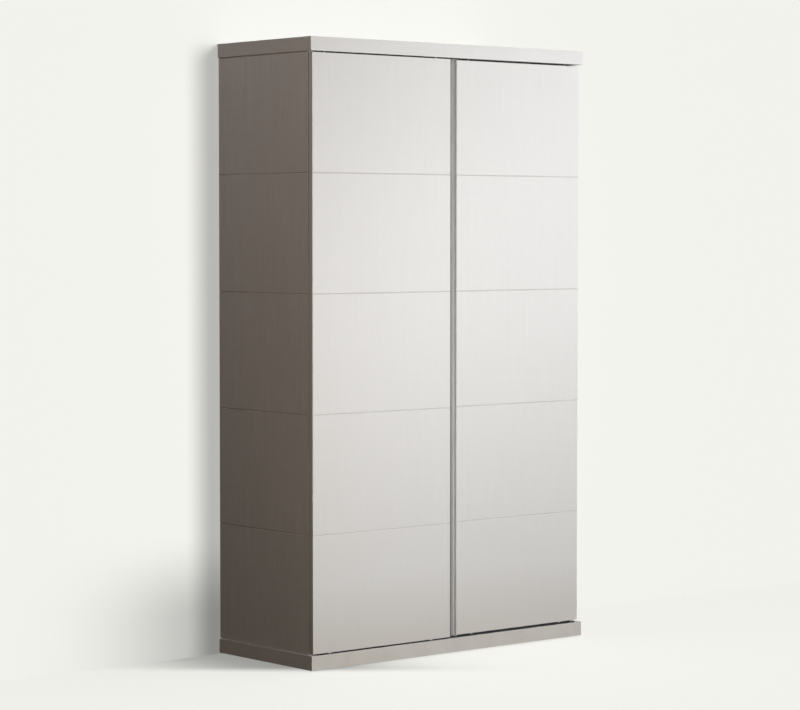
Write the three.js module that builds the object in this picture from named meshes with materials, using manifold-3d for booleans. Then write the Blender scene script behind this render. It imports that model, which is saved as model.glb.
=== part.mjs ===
// A two-door wardrobe with sliding doors that pass each other on two tracks.
// Millimetres, +Z up, +X to the right, the doors face -Y.
// The origin lies on the floor, under the middle of the wardrobe.
import * as THREE from 'three';
import { mergeVertices } from 'three/addons/utils/BufferGeometryUtils.js';
import Module from 'manifold-3d';

const wasm = await Module();
wasm.setup();

// Whole wardrobe
const width = 1265;
const depth = 530;
const height = 2150;
const gap = 0.3;              // between pieces that touch

// Boards
const topThick = 48;
const baseThick = 50;
const sideThick = 22;
const innerThick = 16;        // divider and shelves
const backThick = 3;
const sideInset = 4;          // side panels stand in from the ends of the top and base
const dividerSetBack = 4;     // behind the front edge of the right side panel
const dividerBackGap = 2;
const backRecess = 8;         // the back panels lie this far inside the rear edges
const backJointHalf = 1.2;    // from the middle to the edge of each back panel
const fieldCount = 5;         // fields between the V grooves of doors and side panels
const grooveWidth = 3.2;
const grooveDepth = 1.6;

// Doors
const doorThick = 19;
const doorProud = 2;          // the outer door stands in front of the top and base edges
const trackGap = 3.5;         // between the two doors, and between a door and a board behind it
const doorGapTop = 5;
const doorGapBottom = 6;
const outerDoorRight = -12;   // right edge of the closed outer door
const gripLeft = -24.5;       // left edge of the grip channel of the inner door
const gripWidth = 62.4;
const gripWall = 1.8;
const gripRecess = 12;
const gripEndGap = 1.5;
const innerDoorRight = 630;
const outerTravel = 610;
const innerTravel = 560;

// Running gear, measured from the front face of its door
const laneOffset = 12.5;
const wheelTread = 9;         // radius on which it rolls
const wheelFlange = 11;
const wheelWidth = 6;
const wheelFromEdge = 80;
const wheelClear = 0.8;       // free width of a wheel in its slot
const treadClear = 0.2;       // between tread and ridge
const axleRadius = 2;
const axleHalf = 4.4;
const boreRadius = 2.1;
const carrierLength = 64;
const carrierHeight = 30;
const carrierFront = 7.5;     // the pocket for it is open at the door's back
const ridgeHeight = 3;
const ridgeWidth = 2;
const railPlate = 2;
const railMargin = 6;
const guideLength = 42;
const guideHeight = 30;
const guideFromEdge = 60;
const pinRadius = 3.5;
const pinClear = 0.1;
const pinBlind = 4;
const pinHeadroom = 2;        // between a pin's top and the roof of its channel
const slotHalf = 4;
const slotDepth = 11;
const slotWall = 1.2;
const stopLength = 30;

// Inside
const shelfTop = 1766;        // top of the hat shelf and of the uppermost shelf
const lowerShelves = 4;
const shelfSetBack = 12;
const railBelowShelf = 62;
const railLong = 30;
const railWide = 15;
const railWall = 1.2;
const supportPlate = 3;
const supportCup = 14;
const supportWall = 3;
const footRadius = 20;
const footHeight = 5;
const footFromEnd = 50;
const footFromFront = 50;
const footFromBack = 65;

// Places worked out from the sizes above
const halfWidth = width / 2;
const doorFront = -depth / 2;
const boardFront = doorFront + doorProud;
const boardBack = depth / 2;
const baseTop = footHeight + baseThick;
const topBottom = height - topThick;
const sideOuter = halfWidth - sideInset;
const sideInner = sideOuter - sideThick;
const innerDoorFront = doorFront + doorThick + trackGap;
const leftSideFront = innerDoorFront;
const rightSideFront = innerDoorFront + doorThick + trackGap;
const dividerFront = rightSideFront + dividerSetBack;
const backFront = boardBack - backRecess - backThick;
const dividerBack = backFront - dividerBackGap;
const fieldHeight = (topBottom - baseTop) / fieldCount;
const grooveHeights = [1, 2, 3, 4].map((n) => baseTop + n * fieldHeight);
const doorBottom = baseTop + doorGapBottom;
const doorTop = topBottom - doorGapTop;
const outerLane = doorFront + laneOffset;
const innerLane = innerDoorFront + laneOffset;
const wheelCentre = baseTop + ridgeHeight + treadClear + wheelTread;
const railHalf = sideInner - gap;

const finishes = {
  board: { color: 0xe6e4df, roughness: 0.45, metalness: 0 },
  inside: { color: 0xe2e0da, roughness: 0.55, metalness: 0 },
  back: { color: 0xd9d6cf, roughness: 0.7, metalness: 0 },
  aluminium: { color: 0xa8a8a3, roughness: 0.35, metalness: 0.9 },
  steel: { color: 0xb4b5b6, roughness: 0.3, metalness: 1 },
  nylon: { color: 0xdad8d0, roughness: 0.5, metalness: 0 },
  black: { color: 0x1d1d1e, roughness: 0.6, metalness: 0 },
  rubber: { color: 0x2b2b2c, roughness: 0.85, metalness: 0 },
};

function piece(name, geometry, finish) {
  const mesh = new THREE.Mesh(geometry, new THREE.MeshStandardMaterial(finishes[finish]));
  mesh.name = name;
  return mesh;
}

// A box from its lowest and highest corners.
function block(low, high) {
  const size = high.map((value, i) => value - low[i]);
  const middle = high.map((value, i) => (value + low[i]) / 2);
  return new THREE.BoxGeometry(...size).translate(...middle);
}

function outline(points) {
  return new THREE.Shape(points.map(([x, y]) => new THREE.Vector2(x, y)));
}

// A (y, z) outline carried along X from x0 to x1.
function alongX(shape, x0, x1) {
  const turn = new THREE.Matrix4().makeBasis(
    new THREE.Vector3(0, 1, 0),
    new THREE.Vector3(0, 0, 1),
    new THREE.Vector3(1, 0, 0),
  );
  const geometry = new THREE.ExtrudeGeometry(shape, { depth: x1 - x0, bevelEnabled: false });
  return geometry.applyMatrix4(turn).translate(x0, 0, 0);
}

// An (x, z) outline carried along Y from y0 to y1.
function alongY(shape, y0, y1) {
  const turn = new THREE.Matrix4().makeBasis(
    new THREE.Vector3(1, 0, 0),
    new THREE.Vector3(0, 0, 1),
    new THREE.Vector3(0, -1, 0),
  );
  const geometry = new THREE.ExtrudeGeometry(shape, { depth: y1 - y0, bevelEnabled: false });
  return geometry.applyMatrix4(turn).translate(0, y1, 0);
}

// A round bar or bore; its axis runs along 'y' or 'z' from start to end.
function round(axis, radius, centre, start, end, sides = 24) {
  const geometry = new THREE.CylinderGeometry(radius, radius, end - start, sides);
  if (axis === 'z') geometry.rotateX(Math.PI / 2);
  const middle = (start + end) / 2;
  if (axis === 'z') return geometry.translate(centre[0], centre[1], middle);
  return geometry.translate(centre[0], middle, centre[1]);
}

function solid(geometry) {
  const bare = geometry.clone().deleteAttribute('normal').deleteAttribute('uv');
  const merged = mergeVertices(bare, 1e-4);
  return new wasm.Manifold(new wasm.Mesh({
    numProp: 3,
    vertProperties: new Float32Array(merged.attributes.position.array),
    triVerts: new Uint32Array(merged.index.array),
  }));
}

function geometryOf(body) {
  const mesh = body.getMesh();
  const geometry = new THREE.BufferGeometry();
  geometry.setAttribute('position', new THREE.BufferAttribute(mesh.vertProperties, 3));
  geometry.setIndex(new THREE.BufferAttribute(mesh.triVerts, 1));
  geometry.computeVertexNormals();
  return geometry;
}

function cut(geometry, tools) {
  return geometryOf(tools.reduce((body, tool) => body.subtract(solid(tool)), solid(geometry)));
}

function join(geometries) {
  return geometryOf(geometries.map(solid).reduce((body, other) => body.add(other)));
}

// A board's edge seen from its end: a face at 'face' with V grooves, and a plain back at 'back'.
function groovedOutline(face, back, bottom, top) {
  const inward = Math.sign(back - face);
  const points = [[face, bottom]];
  for (const z of grooveHeights) {
    points.push([face, z - grooveWidth / 2]);
    points.push([face + inward * grooveDepth, z]);
    points.push([face, z + grooveWidth / 2]);
  }
  points.push([face, top], [back, top], [back, bottom]);
  return outline(points);
}

// Carcass

function topPanel() {
  const slab = block([-halfWidth, boardFront, topBottom], [halfWidth, boardBack, height]);
  const front = outerLane - slotHalf - slotWall - gap;
  const back = innerLane + slotHalf + slotWall + gap;
  const roof = topBottom + slotDepth + slotWall + gap;
  const recess = block([-railHalf - gap, front, topBottom - 1], [railHalf + gap, back, roof]);
  return piece('top_panel', cut(slab, [recess]), 'board');
}

function basePanel() {
  const slab = block([-halfWidth, boardFront, footHeight], [halfWidth, boardBack, baseTop]);
  const front = outerLane - railMargin - gap;
  const back = innerLane + railMargin + gap;
  const floor = baseTop - railPlate - gap;
  const recess = block([-railHalf - gap, front, floor], [railHalf + gap, back, baseTop + 1]);
  return piece('base_panel', cut(slab, [recess]), 'board');
}

function sidePanel(name, side, front) {
  const shape = groovedOutline(side * sideOuter, side * sideInner, baseTop + gap, topBottom - gap);
  return piece(name, alongY(shape, front, boardBack), 'board');
}

function divider() {
  const half = innerThick / 2;
  const low = [-half, dividerFront, baseTop + gap];
  return piece('centre_divider', block(low, [half, dividerBack, topBottom - gap]), 'inside');
}

function backPanel(name, side) {
  const inner = side * backJointHalf;
  const outer = side * (sideInner - gap);
  const low = [Math.min(inner, outer), backFront, baseTop + gap];
  const high = [Math.max(inner, outer), backFront + backThick, topBottom - gap];
  return piece(name, block(low, high), 'back');
}

// The strip that joins the two back panels, an H in plan.
function backStrip() {
  const flange = 12;
  const leaf = 1.2;
  const web = 0.8;
  const front = backFront - gap;
  const rear = backFront + backThick + gap;
  const bottom = baseTop + gap;
  const top = topBottom - gap;
  return piece('back_joint_strip', join([
    block([-flange, front - leaf, bottom], [flange, front, top]),
    block([-web, front - leaf / 2, bottom], [web, rear + leaf / 2, top]),
    block([-flange, rear, bottom], [flange, rear + leaf, top]),
  ]), 'black');
}

function shelf(name, side, topFace) {
  const inner = side * (innerThick / 2 + gap);
  const outer = side * (sideInner - gap);
  const low = [Math.min(inner, outer), dividerFront + shelfSetBack, topFace - innerThick];
  const high = [Math.max(inner, outer), dividerBack, topFace];
  return piece(name, block(low, high), 'inside');
}

function foot(name, x, y) {
  const bevel = 1;
  const top = footHeight - gap;
  const profile = [[0, 0], [footRadius - bevel, 0], [footRadius, bevel], [footRadius, top], [0, top]];
  const geometry = new THREE.LatheGeometry(profile.map(([r, z]) => new THREE.Vector2(r, z)), 40);
  const mesh = piece(name, geometry, 'black');
  mesh.rotation.x = Math.PI / 2;
  mesh.position.set(x, y, 0);
  return mesh;
}

// Hanging rail: an oval tube between two open cups

function oval(halfLong, halfWide) {
  const straight = halfLong - halfWide;
  const shape = new THREE.Shape();
  shape.moveTo(halfWide, -straight);
  shape.lineTo(halfWide, straight);
  shape.absarc(0, straight, halfWide, 0, Math.PI, false);
  shape.lineTo(-halfWide, -straight);
  shape.absarc(0, -straight, halfWide, Math.PI, Math.PI * 2, false);
  return shape;
}

const railY = (dividerFront + backFront) / 2;
const railZ = shelfTop - innerThick - railBelowShelf;
const railLeft = -sideInner + gap + supportPlate + gap;
const railRight = -innerThick / 2 - gap - supportPlate - gap;

function hangingRail() {
  const shape = oval(railLong / 2, railWide / 2);
  shape.holes.push(oval(railLong / 2 - railWall, railWide / 2 - railWall));
  const geometry = alongX(shape, railLeft, railRight);
  const mesh = piece('hanging_rail', geometry, 'steel');
  mesh.position.set(0, railY, railZ);
  return mesh;
}

function railSupport(name, face, side) {
  const bore = oval(railLong / 2 + gap, railWide / 2 + gap);
  const shell = oval(railLong / 2 + gap + supportWall, railWide / 2 + gap + supportWall);
  const plateEnd = face + side * supportPlate;
  const cupEnd = face + side * supportCup;
  const plate = alongX(shell, Math.min(face, plateEnd), Math.max(face, plateEnd));
  const cup = alongX(shell, Math.min(face, cupEnd), Math.max(face, cupEnd));
  const low = Math.min(plateEnd, cupEnd + side);
  const high = Math.max(plateEnd, cupEnd + side);
  const hollow = alongX(bore, low, high);
  const mouth = block([low, -railWide / 2 - gap, 0], [high, railWide / 2 + gap, railLong]);
  const mesh = piece(name, cut(join([plate, cup]), [hollow, mouth]), 'nylon');
  mesh.position.set(0, railY, railZ);
  return mesh;
}

// Rails and stops

// Two rounded ridges on a flat strip, let into the base panel.
function bottomRail() {
  const front = outerLane - railMargin;
  const back = innerLane + railMargin;
  const floor = baseTop - railPlate;
  const shape = new THREE.Shape();
  shape.moveTo(back, floor);
  shape.lineTo(back, baseTop);
  for (const lane of [innerLane, outerLane]) {
    const shoulder = baseTop + ridgeHeight - ridgeWidth / 2;
    shape.lineTo(lane + ridgeWidth / 2, baseTop);
    shape.lineTo(lane + ridgeWidth / 2, shoulder);
    shape.absarc(lane, shoulder, ridgeWidth / 2, 0, Math.PI, false);
    shape.lineTo(lane - ridgeWidth / 2, baseTop);
  }
  shape.lineTo(front, baseTop);
  shape.lineTo(front, floor);
  return piece('bottom_running_rail', alongX(shape, -railHalf, railHalf), 'aluminium');
}

// A comb of four legs under a web, let into the top panel: each pair of legs guides one door.
function topRail() {
  const roof = topBottom + slotDepth;
  const edges = [outerLane - slotHalf, outerLane + slotHalf, innerLane - slotHalf, innerLane + slotHalf];
  const points = [[edges[0] - slotWall, topBottom], [edges[0], topBottom], [edges[0], roof]];
  points.push([edges[1], roof], [edges[1], topBottom], [edges[1] + slotWall, topBottom]);
  points.push([edges[1] + slotWall, roof], [edges[2] - slotWall, roof], [edges[2] - slotWall, topBottom]);
  points.push([edges[2], topBottom], [edges[2], roof], [edges[3], roof], [edges[3], topBottom]);
  points.push([edges[3] + slotWall, topBottom], [edges[3] + slotWall, roof + slotWall]);
  points.push([edges[0] - slotWall, roof + slotWall]);
  return piece('top_guide_rail', alongX(outline(points), -railHalf, railHalf), 'aluminium');
}

function railStop(name, lane, from, to) {
  const half = slotHalf - gap;
  const geometry = block([from, lane - half, topBottom + 1], [to, lane + half, topBottom + slotDepth - gap]);
  return piece(name, geometry, 'rubber');
}

// Doors, each in its own frame: x from its left edge, y from its front face, z from its bottom edge

const doorHeight = doorTop - doorBottom;

function doorPanel(name, panelWidth, wheelXs, guideXs) {
  const shape = groovedOutline(0, doorThick, doorBottom, doorTop);
  const panel = alongX(shape, 0, panelWidth).translate(0, 0, -doorBottom);
  const pockets = wheelXs.map((x) => block(
    [x - carrierLength / 2 - gap, carrierFront, -1],
    [x + carrierLength / 2 + gap, doorThick + 1, carrierHeight + gap],
  ));
  const topPockets = guideXs.map((x) => block(
    [x - guideLength / 2 - gap, carrierFront, doorHeight - guideHeight - gap],
    [x + guideLength / 2 + gap, doorThick + 1, doorHeight + 1],
  ));
  return piece(name, cut(panel, [...pockets, ...topPockets]), 'board');
}

function wheelCarrier(name, x) {
  const axleZ = wheelCentre - doorBottom;
  const slotHalfWidth = (wheelWidth + wheelClear) / 2;
  const body = block(
    [x - carrierLength / 2, carrierFront + gap, 0],
    [x + carrierLength / 2, doorThick, carrierHeight],
  );
  const slot = block(
    [x - wheelFlange - 2, laneOffset - slotHalfWidth, -1],
    [x + wheelFlange + 2, laneOffset + slotHalfWidth, axleZ + wheelFlange + 2],
  );
  const bore = round('y', boreRadius, [x, axleZ], 0, doorThick + 1);
  return piece(name, cut(body, [slot, bore]), 'black');
}

function wheelAxle(name, x) {
  const geometry = round('y', axleRadius, [0, 0], -axleHalf, axleHalf);
  const mesh = piece(name, geometry, 'steel');
  mesh.position.set(x, laneOffset, wheelCentre - doorBottom);
  return mesh;
}

// A grooved wheel whose tread rides on the ridge of the bottom rail.
function wheel(name, x) {
  const half = wheelWidth / 2;
  const profile = [
    [boreRadius, -half], [wheelFlange - 0.4, -half], [wheelFlange, -half + 0.3],
    [wheelFlange, -2.2], [wheelTread, -1.3], [wheelTread, 1.3], [wheelFlange, 2.2],
    [wheelFlange, half - 0.3], [wheelFlange - 0.4, half], [boreRadius, half], [boreRadius, -half],
  ];
  const geometry = new THREE.LatheGeometry(profile.map(([r, y]) => new THREE.Vector2(r, y)), 36);
  const mesh = piece(name, geometry, 'nylon');
  mesh.position.set(x, laneOffset, wheelCentre - doorBottom);
  return mesh;
}

function guideBlock(name, x) {
  const body = block(
    [x - guideLength / 2, carrierFront + gap, doorHeight - guideHeight],
    [x + guideLength / 2, doorThick, doorHeight],
  );
  const floor = doorHeight - guideHeight + pinBlind;
  const bore = round('z', pinRadius + pinClear, [x, laneOffset], floor, doorHeight + 1);
  return piece(name, cut(body, [bore]), 'black');
}

function guidePin(name, x) {
  const from = doorHeight - guideHeight + pinBlind + gap;
  const to = doorHeight + doorGapTop + slotDepth - pinHeadroom;
  return piece(name, round('z', pinRadius, [x, laneOffset], from, to, 32), 'nylon');
}

// A channel open to the front, made of a flat floor strip between two edge walls. It is longer than
// the panel and closes the gaps above and below; its lower end is notched over the rail's ridge.
function gripChannel() {
  const bottom = baseTop + gripEndGap - doorBottom;
  const top = topBottom - gripEndGap - doorBottom;
  const left = -gripWidth - gap;
  const notchTop = baseTop + ridgeHeight + 0.5 - doorBottom;
  const notch = block([left - 1, laneOffset - 2, bottom - 1], [0, laneOffset + 2, notchTop]);
  const strip = (name, from, to, front, rear) => {
    const geometry = block([left + from, front, bottom], [left + to, rear, top]);
    return piece(name, cut(geometry, [notch]), 'aluminium');
  };
  return [
    strip('grip_wall_left', 0, gripWall, 0, doorThick),
    strip('grip_floor', gripWall + gap, gripWidth - gripWall - gap, gripRecess, gripRecess + gripWall),
    strip('grip_wall_right', gripWidth - gripWall, gripWidth, 0, doorThick),
  ];
}

function door(side, left, front, panelWidth) {
  const group = new THREE.Group();
  const ends = { left: wheelFromEdge, right: panelWidth - wheelFromEdge };
  const guides = { left: guideFromEdge, right: panelWidth - guideFromEdge };
  group.add(doorPanel(`${side}_door_panel`, panelWidth, Object.values(ends), Object.values(guides)));
  for (const end of ['left', 'right']) {
    group.add(wheelCarrier(`${side}_door_wheel_carrier_${end}`, ends[end]));
    group.add(wheelAxle(`${side}_door_axle_${end}`, ends[end]));
    group.add(wheel(`${side}_door_wheel_${end}`, ends[end]));
    group.add(guideBlock(`${side}_door_guide_block_${end}`, guides[end]));
    group.add(guidePin(`${side}_door_guide_pin_${end}`, guides[end]));
  }
  group.position.set(left, front, doorBottom);
  return group;
}

// Assembly

const wardrobe = new THREE.Group();

wardrobe.add(topPanel(), basePanel());
wardrobe.add(sidePanel('left_side_panel', -1, leftSideFront));
wardrobe.add(sidePanel('right_side_panel', 1, rightSideFront));
wardrobe.add(divider(), backStrip());
wardrobe.add(backPanel('left_back_panel', -1), backPanel('right_back_panel', 1));

wardrobe.add(shelf('hat_shelf', -1, shelfTop), shelf('upper_shelf', 1, shelfTop));
const shelfPitch = (shelfTop - baseTop) / (lowerShelves + 1);
for (let n = 1; n <= lowerShelves; n += 1) {
  wardrobe.add(shelf(`shelf_${n}`, 1, baseTop + n * shelfPitch));
}
wardrobe.add(hangingRail());
wardrobe.add(railSupport('rail_support_left', -sideInner + gap, 1));
wardrobe.add(railSupport('rail_support_right', -innerThick / 2 - gap, -1));

for (const [end, x] of [['left', -halfWidth + footFromEnd], ['right', halfWidth - footFromEnd]]) {
  wardrobe.add(foot(`foot_front_${end}`, x, boardFront + footFromFront));
  wardrobe.add(foot(`foot_rear_${end}`, x, boardBack - footFromBack));
}

const outerDoorLeft = -sideOuter;
const outerWidth = outerDoorRight - outerDoorLeft;
const innerPanelLeft = gripLeft + gripWidth + gap;
const innerWidth = innerDoorRight - innerPanelLeft;
const leftDoor = door('left', outerDoorLeft, doorFront, outerWidth);
const rightDoor = door('right', innerPanelLeft, innerDoorFront, innerWidth);
rightDoor.add(...gripChannel());
wardrobe.add(leftDoor, rightDoor);

wardrobe.add(bottomRail(), topRail());
const reach = pinRadius + gap;
const outerStart = outerDoorLeft + guideFromEdge - reach;
const outerEnd = outerDoorRight - guideFromEdge + outerTravel + reach;
const innerStart = innerPanelLeft + guideFromEdge - innerTravel - reach;
const innerEnd = innerDoorRight - guideFromEdge + reach;
wardrobe.add(railStop('outer_stop_left', outerLane, outerStart - stopLength, outerStart));
wardrobe.add(railStop('outer_stop_right', outerLane, outerEnd, outerEnd + stopLength));
wardrobe.add(railStop('inner_stop_left', innerLane, innerStart - stopLength, innerStart));
wardrobe.add(railStop('inner_stop_right', innerLane, innerEnd, innerEnd + stopLength));

export default wardrobe;
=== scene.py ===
# A white wardrobe with two sliding doors: its finishes, its finished pieces and its studio.
import math
import bmesh
import bpy
from mathutils import Matrix, Vector


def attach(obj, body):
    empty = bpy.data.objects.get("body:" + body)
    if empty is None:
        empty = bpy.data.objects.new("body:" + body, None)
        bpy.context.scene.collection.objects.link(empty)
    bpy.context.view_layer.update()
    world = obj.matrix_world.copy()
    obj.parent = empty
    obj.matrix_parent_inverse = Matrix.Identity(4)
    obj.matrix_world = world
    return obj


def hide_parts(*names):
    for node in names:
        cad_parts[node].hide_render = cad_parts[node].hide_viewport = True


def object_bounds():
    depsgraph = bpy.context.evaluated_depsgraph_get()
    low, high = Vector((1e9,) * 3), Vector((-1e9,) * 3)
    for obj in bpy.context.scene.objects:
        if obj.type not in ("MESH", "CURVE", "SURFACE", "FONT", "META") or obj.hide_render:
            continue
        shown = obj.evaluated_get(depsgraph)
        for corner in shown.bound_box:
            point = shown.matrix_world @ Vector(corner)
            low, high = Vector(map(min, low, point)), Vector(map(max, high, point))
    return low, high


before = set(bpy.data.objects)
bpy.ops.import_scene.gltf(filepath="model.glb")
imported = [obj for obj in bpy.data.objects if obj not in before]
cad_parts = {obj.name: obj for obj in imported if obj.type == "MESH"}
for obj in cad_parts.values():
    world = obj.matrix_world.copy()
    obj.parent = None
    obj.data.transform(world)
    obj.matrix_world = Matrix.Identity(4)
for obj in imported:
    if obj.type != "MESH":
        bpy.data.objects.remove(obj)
cadBox = [list(corner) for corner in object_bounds()]
scene = bpy.context.scene
mm = 0.001
print("frame loaded:", len(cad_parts), "nodes")


# The lowest and the highest corner of a CAD node.
def cornersOf(node):
    points = [vertex.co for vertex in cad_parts[node].data.vertices]
    return [Vector([pick(point[k] for point in points) for k in range(3)]) for pick in (min, max)]


def middleOf(node):
    low, high = cornersOf(node)
    return (low + high) / 2


# Heights that several pieces share.
baseTop = cornersOf("base_panel")[1].z
topBottom = cornersOf("top_panel")[0].z
fieldCount = 5                              # fields between the grooves of doors and side panels
grooveHeights = [baseTop + (topBottom - baseTop) * n / fieldCount for n in range(1, fieldCount)]


# Small helpers for node trees.

def put(tree, kind, values=None, **settings):
    node = tree.nodes.new(kind)
    for key, value in settings.items():
        setattr(node, key, value)
    fill(tree, node, values or {})
    return node


# Links the sockets among the values, and sets the rest.
def fill(tree, node, values):
    for key, value in values.items():
        if isinstance(value, bpy.types.NodeSocket):
            tree.links.new(value, node.inputs[key])
        else:
            node.inputs[key].default_value = value


def maths(tree, operation, a, b=0.0, c=0.0):
    return put(tree, "ShaderNodeMath", {0: a, 1: b, 2: c}, operation=operation).outputs[0]


def blendColours(tree, factor, a, b):
    return put(tree, "ShaderNodeMix", {0: factor, 6: a, 7: b}, data_type="RGBA").outputs[2]


# A number from low to high, by a factor.
def between(tree, factor, low, high):
    return maths(tree, "MULTIPLY_ADD", factor, high - low, low)


def span(tree, value, low, high, newLow=0.0, newHigh=1.0, easing="LINEAR"):
    values = {0: value, 1: low, 2: high, 3: newLow, 4: newHigh}
    return put(tree, "ShaderNodeMapRange", values, interpolation_type=easing).outputs[0]


def combine(tree, x, y, z):
    return put(tree, "ShaderNodeCombineXYZ", {0: x, 1: y, 2: z}).outputs[0]


def noise(tree, vector, scale=1.0, detail=2.0, roughness=0.5, distortion=0.0):
    values = {"Vector": vector, "Scale": scale, "Detail": detail, "Roughness": roughness,
              "Distortion": distortion}
    return put(tree, "ShaderNodeTexNoise", values).outputs[0]


def opaque(colour):
    return (*colour, 1)


# The colour made lighter or darker by a factor.
def toned(colour, factor):
    return tuple(min(1, value * factor) for value in colour)


def newGroup(name, inputs, outputs):
    tree = bpy.data.node_groups.new(name, "ShaderNodeTree")
    for label, value in inputs.items():
        kind = "NodeSocketVector" if isinstance(value, tuple) else "NodeSocketFloat"
        socket = tree.interface.new_socket(name=label, in_out="INPUT", socket_type=kind)
        socket.default_value = value
    for label in outputs:
        tree.interface.new_socket(name=label, in_out="OUTPUT", socket_type="NodeSocketFloat")
    return tree, tree.nodes.new("NodeGroupInput").outputs, tree.nodes.new("NodeGroupOutput")


def placeGroup(tree, group, values):
    node = tree.nodes.new("ShaderNodeGroup")
    node.node_tree = group
    fill(tree, node, values)
    return node.outputs


def finish(name, colour, roughness, metallic=0.0, specular=0.5):
    material = bpy.data.materials.new(name)
    material.use_nodes = True
    tree = material.node_tree
    shader = tree.nodes["Principled BSDF"]
    shader.inputs["Base Color"].default_value = opaque(colour)
    shader.inputs["Roughness"].default_value = roughness
    shader.inputs["Metallic"].default_value = metallic
    shader.inputs["Specular IOR Level"].default_value = specular
    material.diffuse_color = opaque(colour)
    place = tree.nodes.new("ShaderNodeTexCoord").outputs["Object"]
    axes = put(tree, "ShaderNodeSeparateXYZ", {0: place}).outputs
    return material, tree, shader, place, axes


# The way a face looks, as X, Y and Z.
def faceNormal(tree):
    normal = tree.nodes.new("ShaderNodeNewGeometry").outputs["True Normal"]
    return put(tree, "ShaderNodeSeparateXYZ", {0: normal}).outputs


# The distance across a grain that runs along one axis.
def acrossGrain(tree, axes, along):
    others = [axes[axis] for axis in "XYZ" if axis != along]
    return maths(tree, "ADD", others[0], others[1])


def bump(tree, shader, height, distance):
    node = put(tree, "ShaderNodeBump", {"Height": height, "Distance": distance, "Strength": 1.0})
    tree.links.new(node.outputs["Normal"], shader.inputs["Normal"])


# Shared effects.

# Faint woven grain of a laminate: threads along and across a board, and slow clouds of tone.
def makeGrain():
    inputs = {"Across": 0.0, "Along": 0.0, "Thread Width": 0.004, "Cross Share": 0.4, "Cloud Size": 0.5}
    tree, given, out = newGroup("laminateGrain", inputs, ("Shade", "Height", "Cloud"))
    across = maths(tree, "DIVIDE", given["Across"], given["Thread Width"])
    along = maths(tree, "DIVIDE", given["Along"], given["Thread Width"])
    stretch = 0.045                         # how fast the tone changes along a thread
    slowAlong = maths(tree, "MULTIPLY", along, stretch)
    slowAcross = maths(tree, "MULTIPLY", across, stretch)
    warp = noise(tree, combine(tree, across, slowAlong, 0.0), detail=3.0, roughness=0.65)
    weft = noise(tree, combine(tree, slowAcross, along, 7.0), detail=3.0, roughness=0.65)
    warpShare = maths(tree, "SUBTRACT", 1.0, given["Cross Share"])
    woven = maths(tree, "MULTIPLY_ADD", weft, given["Cross Share"], maths(tree, "MULTIPLY", warp, warpShare))
    cloudAcross = maths(tree, "DIVIDE", given["Across"], given["Cloud Size"])
    cloudAlong = maths(tree, "DIVIDE", given["Along"], given["Cloud Size"])
    cloud = noise(tree, combine(tree, cloudAcross, cloudAlong, 3.0))
    tree.links.new(span(tree, woven, 0.3, 0.7), out.inputs["Shade"])
    tree.links.new(woven, out.inputs["Height"])
    tree.links.new(cloud, out.inputs["Cloud"])
    return tree


# Painted shade on the slanting faces of the V grooves across doors and side panels.
def makeGrooveShade():
    tree, given, out = newGroup("grooveShade", {"Height": 0.0, "Slant": 0.0, "Half Width": 0.0016}, ("Groove Shade",))
    away = 1.0
    for height in grooveHeights:
        offset = maths(tree, "ABSOLUTE", maths(tree, "SUBTRACT", given["Height"], height))
        away = maths(tree, "MINIMUM", offset, away)
    inGroove = span(tree, maths(tree, "DIVIDE", away, given["Half Width"]), 0.4, 1.0, 1.0, 0.0)
    slanting = span(tree, maths(tree, "ABSOLUTE", given["Slant"]), 0.2, 0.5)
    tree.links.new(maths(tree, "MULTIPLY", inGroove, slanting), out.inputs["Groove Shade"])
    return tree


# Fine lines left in drawn or brushed metal, along its length.
def makeLines():
    inputs = {"Across": 0.0, "Along": 0.0, "Line Width": 0.0005, "Line Length": 0.08}
    tree, given, out = newGroup("drawnLines", inputs, ("Lines", "Height"))
    across = maths(tree, "DIVIDE", given["Across"], given["Line Width"])
    along = maths(tree, "DIVIDE", given["Along"], given["Line Length"])
    fine = noise(tree, combine(tree, across, along, 0.0), detail=4.0)
    tree.links.new(span(tree, fine, 0.3, 0.7), out.inputs["Lines"])
    tree.links.new(fine, out.inputs["Height"])
    return tree


# Moulded plastic: a fine eroded texture and slow unevenness.
def makeMoulded():
    inputs = {"Place": (0.0, 0.0, 0.0), "Grain Size": 0.0006}
    tree, given, out = newGroup("mouldedSkin", inputs, ("Grain", "Slow"))
    scale = maths(tree, "DIVIDE", 1.0, given["Grain Size"])
    cells = put(tree, "ShaderNodeTexVoronoi", {"Vector": given["Place"], "Scale": scale})
    tree.links.new(cells.outputs["Distance"], out.inputs["Grain"])
    tree.links.new(noise(tree, given["Place"], 60.0), out.inputs["Slow"])
    return tree


# Handling marks: broad soft patches where the gloss changes.
def makeHandling():
    tree, given, out = newGroup("handling", {"Place": (0.0, 0.0, 0.0), "Patch Size": 0.12}, ("Patches",))
    scale = maths(tree, "DIVIDE", 1.0, given["Patch Size"])
    patches = noise(tree, given["Place"], scale, detail=4.0, distortion=0.6)
    tree.links.new(span(tree, patches, 0.4, 0.65), out.inputs["Patches"])
    return tree


# Soft shade beside an upright edge, fading with the distance from it.
def makeEdgeShade():
    tree, given, out = newGroup("edgeShade", {"Across": 0.0, "Edge": 0.0, "Reach": 0.4}, ("Shade",))
    away = maths(tree, "DIVIDE", maths(tree, "SUBTRACT", given["Across"], given["Edge"]), given["Reach"])
    fading = maths(tree, "EXPONENT", maths(tree, "MULTIPLY", maths(tree, "MULTIPLY", away, away), -1.0))
    tree.links.new(fading, out.inputs["Shade"])
    return tree


grainGroup = makeGrain()
grooveGroup = makeGrooveShade()
linesGroup = makeLines()
mouldedGroup = makeMoulded()
handlingGroup = makeHandling()
edgeShadeGroup = makeEdgeShade()


# Finishes.

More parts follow.
